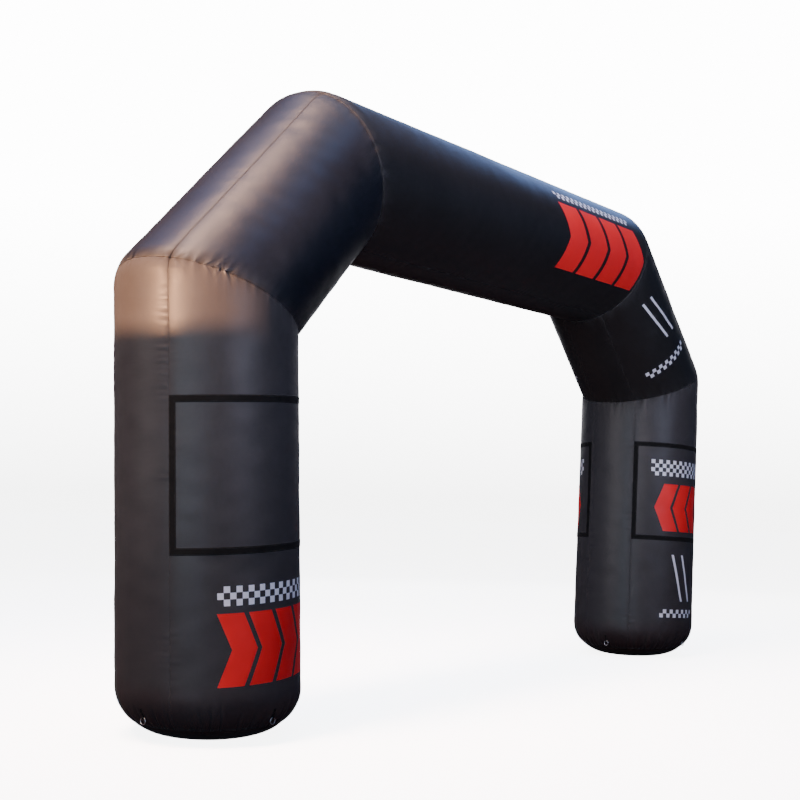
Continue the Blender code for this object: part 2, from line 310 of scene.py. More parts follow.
# one dictionary for each air-filled section; angles run from the outer side to the front
sections = {
    "leftLeg": {"start": foot, "end": knee, "low": "base", "high": "leftKnee", "mirror": 1.0,
                "seams": (22.5, -45.0, 146.25, -168.75), "puckers": ((0, 2.08, 2.46),),
                "fine": kneeSpot, "pleatSeed": 5, "seed": 31},
    "rightLeg": {"start": foot, "end": knee, "low": "base", "high": "rightKnee", "mirror": -1.0,
                 "seams": (157.5, -157.5, 33.75, -33.75), "pleatSeed": 6, "seed": 41},
    "leftSlant": {"start": knee, "end": shoulder, "low": "leftKnee", "high": "leftShoulder",
                  "mirror": 1.0, "seams": evenSeams, "fine": kneeSpot, "seed": 51},
    "rightSlant": {"start": knee, "end": shoulder, "low": "rightKnee", "high": "rightShoulder",
                   "mirror": -1.0, "seams": evenSeams, "seed": 61},
    "topBeam": {"start": shoulder, "end": farShoulder, "low": "leftShoulder",
                "high": "rightShoulder", "mirror": 1.0, "seams": evenSeams, "loose": 0.5,
                "seed": 71},
}
for place, section in sections.items():
    section["name"] = place
    section["line"] = unit(section["end"] - section["start"])
    section["length"] = float(np.linalg.norm(section["end"] - section["start"]))
    section["out"] = np.array([-section["line"][2], 0.0, section["line"][0]])
    section["seamTurns"] = [math.radians(a) for a in section["seams"]]
    section["sway"] = surfaceNoise(section["seed"], 14, 1, 5, 0.7, 2.4)
    section["drift"] = surfaceNoise(section["seed"] + 3, 18, 4, 13, 0.14, 0.5)
    section["pucker"] = [surfaceNoise(section["seed"] + 5 + i, 22, 0, 3, 0.022, 0.085)
                         for i in range(8)]
    section["gate"] = [surfaceNoise(section["seed"] + 15 + i, 5, 0, 1, 0.35, 1.3)
                       for i in range(8)]
    if "pleatSeed" in section:
        section["pleats"] = pleatTable(section["pleatSeed"])


def seamPull(section, theta, along, fromEnds):
    # lengthwise seams: a sewn groove, a soft dip, and short puckers across it
    total = np.zeros(np.broadcast(theta, along).shape)
    for number, turn in enumerate(section["seamTurns"]):
        shift = wrapped(theta - turn) * arch["legRadius"]
        groove = cloth["seamDepth"] * np.exp(-np.abs(shift) / cloth["seamWidth"])
        dip = cloth["seamDip"] * np.exp(-(shift / cloth["seamDipWidth"]) ** 2)
        total += (groove + dip) * smooth(fromEnds, 0.0, cloth["endReach"])
        for side in (0, 1):
            index = 2 * number + side
            near = np.where((shift > 0) == (side == 1), np.abs(shift), 9.0)
            gate = np.clip(0.10 + 0.42 * section["gate"][index](theta * 0.0, along), 0.03, 0.9)
            for which, low, high in section.get("puckers", ()):
                if which == index:
                    inside = smooth(along, low - 0.1, low) * (1.0 - smooth(along, high, high + 0.1))
                    gate = gate + 0.8 * inside
            fade = np.exp(-((near - cloth["puckerShift"]) / cloth["puckerReach"]) ** 2)
            ripple = section["pucker"][index](shift * 2.0, along)
            total += cloth["puckerDepth"] * gate * fade * ripple
    return total


def heldWall(height):
    # the wall where a tether tab is sewn on and holds the cloth flat
    rows = np.array(base["heldRows"])
    radii = swell(rows)
    radii[0] -= 0.005
    return np.interp(height, rows, radii)


def skinRadius(section, theta, along, fromStart, fromEnd):
    # radius of the finished cloth, and how deep it lies in a fold
    held = 0.0
    if section["low"] == "base":
        height = base["seamHeight"] + fromStart * section["line"][2]
        radius = swell(height)
        rise = np.maximum(0.0, height - base["seamHeight"])
        fine = pleatDepth(section["pleats"], theta, rise)
        fine = fine + lip(fromStart)
        fine = fine + base["seamPinch"] * np.exp(-fromStart / base["pinchReach"])
        calm = smooth(rise, *base["calmRise"])
        nearest = wrapped(4.0 * theta) / 4.0 * arch["legRadius"]
        held = np.exp(-(nearest / base["heldWidth"]) ** 4) * smooth(rise, *base["heldFrom"])
        held = held * (1.0 - smooth(rise, *base["heldTo"]))
    else:
        share = np.clip(along / section["length"], 0.0, 1.0)
        taper = section["name"] != "topBeam"
        radius = arch["beamRadius"] + (arch["legRadius"] - arch["beamRadius"]) * (1.0 - share) * taper
        corner, fine = jointPull(section["low"], theta, fromStart)
        radius = radius - corner
        calm = smooth(fromStart, *cloth["calmReach"])
    corner, crease = jointPull(section["high"], theta, fromEnd)
    radius = radius - corner
    calm = calm * smooth(fromEnd, *cloth["calmReach"])
    fine = fine + crease + seamPull(section, theta, along, np.minimum(fromStart, fromEnd))
    broad, small = cloth["swayShares"]
    sway = broad * section["sway"](theta, along) + small * section["drift"](theta, along)
    sway = 1.0 + section.get("loose", 1.0) * sway
    radius = radius - fine - calm * cloth["swayDepth"] * sway
    if section["low"] == "base":
        radius = radius * (1.0 - held) + heldWall(height) * held
    return radius, np.clip(fine * (1.0 - held) / cloth["deepFold"], -0.5, 1.0)


def planeDistance(section, theta, radius, point, normal):
    # how far along the axis a column of the tube meets a plane
    across = np.cos(theta)[..., None] * section["out"] + np.sin(theta)[..., None] * front
    gap = (point - section["start"]) @ normal - radius * (across @ normal)
    return gap / float(section["line"] @ normal)


def endPlanes(section):
    # the planes of both ends, half a seam's gap inside the joint
    half = arch["seamGap"] / 2.0
    planes = []
    for side, name in ((1.0, section["low"]), (-1.0, section["high"])):
        if name == "base":
            planes.append((up * (base["seamHeight"] + half), up))
        elif name.endswith("Knee"):
            planes.append((knee + side * half * kneeNormal, kneeNormal))
        elif side > 0 or section["name"] != "topBeam":
            planes.append((shoulder + side * half * shoulderNormal, shoulderNormal))
        else:
            normal = shoulderNormal * np.array([1.0, 1.0, -1.0])
            planes.append((farShoulder - half * normal, normal))
    return planes


def placed(section, theta, radius, along):
    across = np.cos(theta)[..., None] * section["out"] + np.sin(theta)[..., None] * front
    points = section["start"] + along[..., None] * section["line"] + radius[..., None] * across
    return points * np.array([section["mirror"], 1.0, 1.0])


grids = {
    "seamSteps": (0.0, 0.0016, 0.0042, 0.0085, 0.016, 0.028, 0.044),
    "columnStep": 0.0155,
    "endSteps": (0.0, 0.0008, 0.0025, 0.005, 0.008, 0.012, 0.018, 0.025, 0.033, 0.042, 0.052,
                 0.063, 0.075, 0.088, 0.102, 0.117, 0.133, 0.150, 0.168, 0.187, 0.207, 0.228, 0.250),
    "rowStep": {"leftLeg": 0.011, "rightLeg": 0.011, "leftSlant": 0.012, "rightSlant": 0.012,
                "topBeam": 0.017},
}


def columnAngles(section):
    # columns lie close together at the lengthwise seams
    seams = sorted(turn % tau for turn in section["seamTurns"])
    steps = np.array(grids["seamSteps"]) / arch["legRadius"]
    angles = []
    for number, seam in enumerate(seams):
        following = seams[(number + 1) % len(seams)] + (tau if number == len(seams) - 1 else 0.0)
        angles += [seam + step for step in steps]
        low = seam + steps[-1]
        high = following - steps[-1]
        count = max(2, round((high - low) * arch["legRadius"] / grids["columnStep"]))
        angles += list(np.linspace(low, high, count + 1)[1:])
        angles += [following - step for step in steps[-2:0:-1]]
    angles = np.array(angles)
    for low, high in section.get("fine", ()):
        middle = 0.5 * (angles[:-1] + angles[1:])
        inside = (middle > math.radians(low)) & (middle < math.radians(high))
        angles = np.sort(np.append(angles, middle[inside]))
    return angles


def plainEnds(section, theta):
    # where both end planes meet a plain round tube
    plain = np.full_like(theta, arch["legRadius"])
    return [planeDistance(section, theta, plain, *plane) for plane in endPlanes(section)]


def edgeRow(section, theta, end, distance):
    # a row of the skin that follows one end's plane at a distance
    planes, ends = endPlanes(section), plainEnds(section, theta)
    sign = 1.0 - 2.0 * end
    near = distance + theta * 0.0
    far = ends[1] - ends[0] - distance
    reach = (near, far) if end == 0 else (far, near)
    radius, fold = skinRadius(section, theta, ends[end] + sign * distance, *reach)
    edge = planeDistance(section, theta, radius, *planes[end])
    return radius, edge + sign * distance, fold


def sectionRows(section, theta):
    # rows follow each end's plane, and change evenly from one to the other between them
    planes, (lowPlain, highPlain) = endPlanes(section), plainEnds(section, theta)
    steps = np.array(grids["endSteps"])
    rows = [edgeRow(section, theta, 0, distance) for distance in steps]
    inner = highPlain - lowPlain - 2.0 * steps[-1]
    count = max(4, round(float(inner.mean()) / grids["rowStep"][section["name"]]))
    for step in range(1, count):
        fromStart = steps[-1] + inner * step / count
        along = lowPlain + fromStart
        radius, fold = skinRadius(section, theta, along, fromStart, highPlain - along)
        low = planeDistance(section, theta, radius, *planes[0]) - lowPlain
        high = planeDistance(section, theta, radius, *planes[1]) - highPlain
        rows.append((radius, along + low + (high - low) * step / count, fold))
    return rows + [edgeRow(section, theta, 1, distance) for distance in steps[::-1]]


def linked(name, data):
    item = bpy.data.objects.new(name, data)
    bpy.context.scene.collection.objects.link(item)
    return item


def tubeFrom(name, section, theta, rows):
    # rows of points become one closed body with flat ends, and a cloth map in metres
    radius = np.array([row[0] for row in rows])
    along = np.array([row[1] for row in rows])
    folds = np.array([row[2] for row in rows])
    rowCount, columnCount = radius.shape
    points = placed(section, np.broadcast_to(theta, radius.shape), radius, along)
    verts = np.concatenate([points.reshape(-1, 3), [points[0].mean(axis=0)],
                            [points[-1].mean(axis=0)]])
    wide = np.append(theta, theta[0] + tau) * arch["legRadius"]
    wide = np.broadcast_to(wide, (rowCount, columnCount + 1))
    tall = np.concatenate([along, along[:, :1]], axis=1)
    cloths = np.stack([wide, tall], axis=-1)
    row, column = np.meshgrid(np.arange(rowCount - 1), np.arange(columnCount), indexing="ij")
    row, column = row.ravel(), column.ravel()
    corners = ((0, 0), (0, 1), (1, 1), (1, 0))
    quads = np.stack([(row + r) * columnCount + (column + c) % columnCount
                      for r, c in corners], axis=-1)
    uvs = np.stack([cloths[row + r, column + c] for r, c in corners], axis=1)
    low = rowCount * columnCount
    last = low - columnCount
    column = np.arange(columnCount)
    following = (column + 1) % columnCount
    lowCap = np.stack([np.full_like(column, low), following, column], axis=-1)
    highCap = np.stack([np.full_like(column, low + 1), last + column, last + following], axis=-1)
    if section["mirror"] < 0:
        quads, uvs = quads[:, ::-1], uvs[:, ::-1]
        lowCap, highCap = lowCap[:, ::-1], highCap[:, ::-1]
    faces = quads.tolist() + lowCap.tolist() + highCap.tolist()
    mesh = bpy.data.meshes.new(name)
    mesh.from_pydata(verts.tolist(), [], faces)
    layer = mesh.uv_layers.new(name="cloth")
    flat = np.zeros((columnCount * 6, 2))
    layer.data.foreach_set("uv", np.concatenate([uvs.reshape(-1, 2), flat]).astype("f").ravel())
    fold = mesh.attributes.new("fold", "FLOAT", "POINT")
    fold.data.foreach_set("value", np.append(folds.ravel(), (0.0, 0.0)).astype("f"))
    mesh.update()
    mesh.shade_smooth()
    mesh.set_sharp_from_angle(angle=math.radians(62))
    return linked(name, mesh)


def buildSection(name):
    section = sections[name]
    theta = columnAngles(section)
    return tubeFrom(name, section, theta, sectionRows(section, theta))


def curveFrom(points, samples):
    # a smooth line through a few points, sampled evenly enough for webbing
    points = np.array(points)
    padded = np.vstack([2 * points[0] - points[1], points, 2 * points[-1] - points[-2]])
    line = []
    for number in range(len(points) - 1):
        p0, p1, p2, p3 = padded[number:number + 4]
        for t in np.linspace(0, 1, samples, endpoint=False):
            line.append(0.5 * (2 * p1 + (p2 - p0) * t + (2 * p0 - 5 * p1 + 4 * p2 - p3) * t**2
                               + (3 * p1 - p0 - 3 * p2 + p3) * t**3))
    line.append(points[-1])
    return np.array(line)


def skinPoint(name, theta, along, proud=0.0):
    # a point on a section's finished skin, away from its ends
    section = sections[name]
    low, high = plainEnds(section, theta)
    radius, fold = skinRadius(section, theta, along, along - low, high - along)
    return placed(section, theta, radius + proud, along)


def meshPiece(name, verts, faces, angle=40):
    mesh = bpy.data.meshes.new(name)
    mesh.from_pydata([tuple(v) for v in verts], [], faces)
    mesh.update()
    mesh.shade_smooth()
    mesh.set_sharp_from_angle(angle=math.radians(angle))
    return linked(name, mesh)


# banner frames: flat tape sewn on the cloth
frames = {
    "tape": 0.045,
    "thick": 0.0016,
    "stitchInset": 0.006,
    "stitchDip": 0.0003,
    "edgeRound": 0.0035,
    "tall": 0.975,
    "edgeSteps": (0.0, 0.0012, 0.0035, 0.011, 0.0225, 0.034, 0.0415, 0.0438, 0.045),
    "step": 0.0150,
    "rectangles": {
        "leftFrontFrame": ("leftLeg", 22.5, 146.25, 1.196),
        "leftBackFrame": ("leftLeg", -168.75, -45.0, 1.196),
        "rightFrontFrame": ("rightLeg", 33.6, 157.4, 1.156),
        "rightBackFrame": ("rightLeg", -155.1, -31.35, 1.156),
    },
}


def tapeLines(low, high):
    # grid lines across a rectangle, close together over the tape's width
    edge = np.array(frames["edgeSteps"])
    inner = high - low - 2.0 * edge[-1]
    count = round(inner / frames["step"])
    middle = low + edge[-1] + inner * np.arange(1, count) / count
    return np.concatenate([low + edge, middle, high - edge[::-1]]), len(edge) - 1


def buildFrame(name):
    place, first, last, low = frames["rectangles"][name]
    section = sections[place]
    radius = arch["legRadius"]
    wide, rim = tapeLines(math.radians(first) * radius, math.radians(last) * radius)
    tall, rim = tapeLines(low, low + frames["tall"])
    theta, along = np.meshgrid(wide / radius, tall)
    edgeWide = np.minimum(wide - wide[0], wide[-1] - wide)
    edgeTall = np.minimum(tall - tall[0], tall[-1] - tall)
    reach = np.minimum(*np.meshgrid(edgeWide, edgeTall))
    inside = np.clip(frames["tape"] - reach, 0.0, None)
    near = np.minimum(reach, inside)
    rounded = 1.0 - (1.0 - np.clip(near / frames["edgeRound"], 0.0, 1.0)) ** 2
    stitchDip = frames["stitchDip"] * np.exp(-((near - frames["stitchInset"]) / 0.002) ** 2)
    height = 0.0007 + (frames["thick"] - 0.0004) * rounded - stitchDip
    top = skinPoint(place, theta, along, height)
    bottom = skinPoint(place, theta, along, 0.0003)
    rows, columns = theta.shape
    keep = np.ones((rows - 1, columns - 1), dtype=bool)
    keep[rim:-rim, rim:-rim] = False
    verts = np.concatenate([top.reshape(-1, 3), bottom.reshape(-1, 3)])
    under = rows * columns
    faces = []
    for row, column in zip(*np.nonzero(keep)):
        a = int(row * columns + column)
        around = (a, a + 1, a + 1 + columns, a + columns)
        faces.append(around)
        faces.append(tuple(corner + under for corner in around[::-1]))
        beside = ((row - 1, column), (row, column + 1), (row + 1, column), (row, column - 1))
        for side, (r, c) in enumerate(beside):
            bare = not (0 <= r < rows - 1 and 0 <= c < columns - 1) or not keep[r, c]
            if bare:
                start, end = around[side], around[(side + 1) % 4]
                faces.append((end, start, start + under, end + under))
    if section["mirror"] < 0:
        faces = [face[::-1] for face in faces]
    item = meshPiece(name, verts, faces, 50)
    layer = item.data.uv_layers.new(name="cloth")
    uvs = np.stack([np.tile(grid.ravel(), 2) for grid in np.meshgrid(wide, tall)], axis=-1)
    loops = np.zeros(len(item.data.loops), dtype=np.int32)
    item.data.loops.foreach_get("vertex_index", loops)
    layer.data.foreach_set("uv", uvs[loops].astype(np.float32).ravel())
    return item


def loopRound(across, rise):
    # points round a rectangle, from its first corner
    path = [(x, rise[0]) for x in across] + [(across[-1], y) for y in rise[1:]]
    path += [(x, rise[-1]) for x in across[::-1][1:]]
    return np.array(path + [(across[0], y) for y in rise[::-1][1:-1]])


def frameRuns(name):
    # thread paths just inside both edges of the tape
    place, first, last, low = frames["rectangles"][name]
    radius = arch["legRadius"]
    runs = []
    for inset in (frames["stitchInset"], frames["tape"] - frames["stitchInset"]):
        left = math.radians(first) * radius + inset
        right = math.radians(last) * radius - inset
        sill, head = low + inset, low + frames["tall"] - inset
        path = loopRound(np.linspace(left, right, 120), np.linspace(sill, head, 90))
        points = skinPoint(place, path[:, 0] / radius, path[:, 1], frames["thick"] + 0.0004)
        runs.append((points, True))
    return runs


# thread: rows of stitches along a path, made by one node tree
thread = {"Pitch": 0.0130, "Length": 0.0102, "Thickness": 0.0014}
seamThread = {"fromEdge": (0.0115, 0.0185), "beside": 0.0048, "skipRows": 9, "samples": 420,
              "proud": 0.0003}


def makeStitchTree():
    tree = bpy.data.node_groups.new("stitchRun", "GeometryNodeTree")
    inputs = [("Geometry", "NodeSocketGeometry"), ("Pitch", "NodeSocketFloat"),
              ("Length", "NodeSocketFloat"), ("Thickness", "NodeSocketFloat"),
              ("Finish", "NodeSocketMaterial")]
    for label, kind in inputs:
        tree.interface.new_socket(label, in_out="INPUT", socket_type=kind)
    tree.interface.new_socket("Geometry", in_out="OUTPUT", socket_type="NodeSocketGeometry")
    given = Wire(tree).make("NodeGroupInput")
    pitch, length, thick, look = (given.port(n) for n in (1, 2, 3, 4))
    line = given.make("GeometryNodeMeshToCurve", {}, {"Mesh": given})
    points = given.make("GeometryNodeCurveToPoints", {"mode": "LENGTH"},
                        {"Curve": line, "Length": pitch})
    bead = given.make("GeometryNodeMeshUVSphere", {}, {"Segments": 4, "Rings": 3, "Radius": 0.5})
    scale = given.make("ShaderNodeCombineXYZ", {}, {"X": thick, "Y": thick, "Z": length})
    beads = given.make("GeometryNodeInstanceOnPoints", {}, {
        "Points": points, "Instance": bead, "Rotation": points.port(3), "Scale": scale,
    })
    real = given.make("GeometryNodeRealizeInstances", {}, {"Geometry": beads})
    finished = given.make("GeometryNodeSetMaterial", {}, {"Geometry": real, "Material": look})
    given.make("NodeGroupOutput", {}, {"Geometry": finished})
    return tree


def sewn(name, runs, finish, slot, sizes=None):
    verts = []
    edges = []
    for points, closed in runs:
        first = len(verts)
        verts += [tuple(p) for p in points]
        edges += [(n, n + 1) for n in range(first, len(verts) - 1)]
        if closed:
            edges.append((len(verts) - 1, first))
    path = bpy.data.meshes.new(name + "Path")
    path.from_pydata(verts, edges, [])
    item = linked(name, path)
    modifier = item.modifiers.new("stitchRun", "NODES")
    modifier.node_group = stitchTree
    values = dict(thread, **(sizes or {}), Finish=finish)
    for socket in stitchTree.interface.items_tree:
        if socket.in_out == "INPUT" and socket.name in values:
            modifier[socket.identifier] = values[socket.name]
    view = bpy.context.evaluated_depsgraph_get()
    solid = bpy.data.meshes.new_from_object(item.evaluated_get(view))
    item.modifiers.remove(modifier)
    item.data = solid
    solid.name = name
    solid.shade_smooth()
    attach(item, "root")
    return item


def seamRuns(name):
    # twin rows beside the sewn ends, and one row on each side of every lengthwise seam
    section = sections[name]
    runs = []
    proud = seamThread["proud"]
    theta = np.linspace(-math.pi, math.pi, seamThread["samples"], endpoint=False)
    for end in (0, 1):
        for distance in seamThread["fromEdge"]:
            radius, along, fold = edgeRow(section, theta, end, distance)
            runs.append((placed(section, theta, radius + proud, along), True))
    offsets = [turn + side * seamThread["beside"] / arch["legRadius"]
               for turn in section["seamTurns"] for side in (-1, 1)]
    skip = seamThread["skipRows"]
    rows = sectionRows(section, np.array(offsets))[skip:-skip]
    for column, turn in enumerate(offsets):
        radius = np.array([row[0][column] for row in rows]) + proud
        along = np.array([row[1][column] for row in rows])
        runs.append((placed(section, np.full_like(radius, turn), radius, along), False))
    return runs


# bases: a smooth panel that curves in under the leg
baseLook = {
    "heights": (0.0, 0.0006, 0.0018, 0.0036, 0.006, 0.009, 0.0125, 0.0165, 0.021, 0.026, 0.0315,
                0.0375, 0.044, 0.0505, 0.057, 0.063, 0.0685, 0.0735, 0.078, 0.0815, 0.0842,
                0.0862, 0.0877, 0.0888, 0.0895, 0.08985),
    "pleatShare": 0.65,
    "pleatReach": 0.022,
    "drift": 0.0016,
}


def buildBase(name, legName):
    section = sections[legName]
    theta = columnAngles(section)
    rows = []
    for height in baseLook["heights"]:
        drop = base["seamHeight"] - arch["seamGap"] / 2.0 - height
        level = np.full_like(theta, height)
        pull = baseLook["pleatShare"] * pleatDepth(section["pleats"], theta, level * 0.0)
        pull = pull * math.exp(-drop / baseLook["pleatReach"]) + lip(np.full_like(theta, drop))
        pull = pull + base["seamPinch"] * math.exp(-drop / base["pinchReach"])
        soft = baseLook["drift"] * section["drift"](theta, level) * smooth(height, 0.002, 0.02)
        radius = swell(level) - pull - soft * smooth(drop, 0.0, 0.03)
        along = planeDistance(section, theta, radius, up * height, up)
        fold = np.clip(pull / 0.012, 0.0, 1.0)
        rows.append((radius, along, fold))
    return tubeFrom(name, section, theta, rows)


# tether tabs and rings
tether = {
    "directions": {"outer": 0.0, "front": 90.0, "inner": 180.0, "back": 270.0},
    "clear": 0.00036,
    "eyeOuter": 0.0066,
    "layer": 0.00155,
    "width": 0.016,
    "wireHeight": 0.164,
    "eyeDrop": 0.0009,
    "ringCentre": 0.143,
    "ringRadius": 0.021,
    "wire": 0.003,
    # the strip's path: down in front, round the eye, up behind, then sewn through both layers
    "outerHeights": (0.2215, 0.213, 0.204, 0.195, 0.187),
    "eyeDegrees": (78, 45, 15, -15, -45, -75, -105, -135, -165, 165, 138),
    "innerHeights": (0.1815, 0.187, 0.195, 0.204, 0.213, 0.2205),
    "boxHeights": (0.190, 0.2165),
    "boxHalf": 0.0055,
    "thread": {"Pitch": 0.0026, "Length": 0.0021, "Thickness": 0.0007},
}


def tetherFrame(place, side):
    # outward and sideways directions at one tab, and the leg's centre at a height
    angle = math.radians(tether["directions"][place])
    out = np.array([-math.cos(angle), -math.sin(angle), 0.0])
    across = np.array([-out[1], out[0], 0.0])
    stretch = 1.0 / legLine[2] if place in ("outer", "inner") else 1.0
    mirror = np.array([side, 1.0, 1.0])

    def spot(reach, height, shift=0.0):
        centre = foot + legLine * (height / legLine[2])
        middle = np.array([centre[0], 0.0, height])
        return (middle + out * reach + across * shift) * mirror

    def wall(height):
        return float(heldWall(height)) * stretch
    eye = tether["eyeOuter"] + tether["clear"]
    shifts = np.arange(-6, 7) * 0.001
    hang = tether["wireHeight"] - tether["eyeDrop"]
    reach = max(wall(hang + s) + math.sqrt(max(0.0, eye**2 - s**2)) for s in shifts)
    return spot, wall, reach, hang, out * mirror


def tubeFaces(rows, around, closed=False):
    # quads between neighbouring rings of points
    faces = []
    for row in range(rows if closed else rows - 1):
        following = (row + 1) % rows
        for column in range(around):
            after = (column + 1) % around
            faces.append((row * around + column, row * around + after,
                          following * around + after, following * around + column))
    return faces


def buildTab(name, place, side):
    spot, wall, reach, hang, out = tetherFrame(place, side)
    layer = tether["layer"]
    middle = tether["eyeOuter"] - layer / 2.0
    outer = tether["clear"] + 1.5 * layer + 0.00005
    inner = tether["clear"] + 0.5 * layer
    path = [(wall(h) + outer, h) for h in tether["outerHeights"]]
    for degrees in tether["eyeDegrees"]:
        turn = math.radians(degrees)
        path.append((reach + middle * math.cos(turn), hang + middle * math.sin(turn)))
    path += [(wall(h) + inner, h) for h in tether["innerHeights"]]
    line = curveFrom(path, 4)
    step = np.gradient(line, axis=0)
    normal = np.stack([step[:, 1], -step[:, 0]], axis=-1)
    normal /= np.linalg.norm(normal, axis=1)[:, None]
    half = tether["width"] / 2.0
    profile = [(-half, -0.2), (-half, 0.2), (-half + 0.0006, 0.5), (-half / 3, 0.47),
               (half / 3, 0.47), (half - 0.0006, 0.5), (half, 0.2), (half, -0.2),
               (half - 0.0006, -0.5), (half / 3, -0.47), (-half / 3, -0.47),
               (-half + 0.0006, -0.5)]
    verts = []
    for centre, facing in zip(line, normal):
        for shift, depth in profile:
            point = centre - facing * depth * layer
            verts.append(spot(point[0], point[1], shift))
    around = len(profile)
    faces = tubeFaces(len(line), around)
    faces.append(tuple(range(around))[::-1])
    faces.append(tuple((len(line) - 1) * around + n for n in range(around)))
    item = meshPiece(name, verts, faces, 50)
    turnOut(item)
    # a box of stitches with a cross in it
    edge, count = tether["boxHalf"], 14
    height = np.linspace(*tether["boxHeights"], count)
    face = outer + 0.5 * layer + 0.0001
    lines = [(loopRound(np.linspace(-edge, edge, 8), height), True)]
    for sign in (-1.0, 1.0):
        lines.append((zip(np.linspace(sign * edge, -sign * edge, count), height), False))
    runs = [(np.array([spot(wall(h) + face, h, x) for x, h in line]), closed)
            for line, closed in lines]
    return item, runs


def turnOut(item):
    # make every face point outwards
    shell = bmesh.new()
    shell.from_mesh(item.data)
    bmesh.ops.recalc_face_normals(shell, faces=shell.faces)
    shell.to_mesh(item.data)
    shell.free()


def buildRing(name, place, side):
    spot, wall, reach, hang, out = tetherFrame(place, side)
    centre = spot(reach, hang)
    centre[2] = tether["ringCentre"]
    across = np.array([-out[1], out[0], 0.0])
    verts = []
    major, minor = 64, 14
    for number in range(major):
        turn = tau * number / major
        ray = math.sin(turn) * across - math.cos(turn) * up
        weld = math.exp(-(min(number, major - number) / 1.3) ** 2)
        wire = tether["wire"] * (1.0 + 0.10 * weld)
        for step in range(minor):
            roll = tau * step / minor
            offset = ray * math.cos(roll) + out * math.sin(roll)
            verts.append(centre + ray * tether["ringRadius"] + offset * wire)
    item = meshPiece(name, verts, tubeFaces(major, minor, True), 80)
    turnOut(item)
    return item


# finishes
def newFinish(name, fixed):
    # a material with one shader; fixed holds the numbers of its own sockets
    material = bpy.data.materials.new(name)
    material.use_nodes = True
    tree = material.node_tree
    tree.nodes.clear()
    shader = tree.nodes.new("ShaderNodeBsdfPrincipled")
    output = tree.nodes.new("ShaderNodeOutputMaterial")
    tree.links.new(shader.outputs[0], output.inputs["Surface"])
    for socket, value in fixed.items():
        shader.inputs[socket].default_value = value
    return material, Wire(tree), shader


def feed(wire, shader, name):
    wire.tree.links.new(wire.socket, shader.inputs[name])


def objectPlace(source):
    return source.make("ShaderNodeTexCoord", {}, {}, 3)


def raised(height, strength, shader):
    # a height in metres goes to the shader as a bump
    bump = height.make("ShaderNodeBump", {}, {
        "Strength": strength, "Distance": 1.0, "Height": height,
    })
    feed(bump, shader, "Normal")


def shades(colour, low, high):
    return [tuple(part * share for part in colour) + (1.0,) for share in (low, high)]


def noise(source, place, scale, detail=3.0, rough=0.5):
    return source.make("ShaderNodeTexNoise", {}, {
        "Vector": place, "Scale": scale, "Detail": detail, "Roughness": rough,
    })


def stretched(source, u, v, wide, tall):
    return source.make("ShaderNodeCombineXYZ", {}, {"X": u * wide, "Y": v * tall, "Z": 0.37})


def bands(shift, c, mark):
    # slanted bands of one width, between two levels of c
    step = shift / mark["pitch"]
    inRow = step.between(0.0, float(mark["count"]))
    return (step.fract() < mark["band"] / mark["pitch"]) * inRow * c.between(*mark["levels"])


def chevrons(a, c, mark):
    # a row of arrow bands that point along a
    middle = 0.5 * (mark["levels"][0] + mark["levels"][1])
    return bands(a - mark["start"] + mark["slope"] * (c - middle).size(), c, mark)


def slantBars(a, c, mark):
    return bands(a - mark["start"] - mark["slope"] * (c - mark["levels"][0]), c, mark)


def chequers(a, c, mark):
    low, high = mark["levels"]
    start, end = mark["reach"]
    cell = ((a - start) / mark["cell"]).floor() + ((c - low) / mark["cell"]).floor()
    odd = (cell * 0.5).fract() > 0.25
    return odd * a.between(start, end) * c.between(low, high)


motifs = {"chevrons": chevrons, "chequers": chequers, "slantBars": slantBars}
inks = {
    "red": (0.91, 0.018, 0.021, 1.0),
    "white": (0.84, 0.86, 0.97, 1.0),
    # the last colour is painted reflected light from a reddish ground, not a print ink
    "bounceRed": (0.0260, 0.0105, 0.0110, 1.0),
}


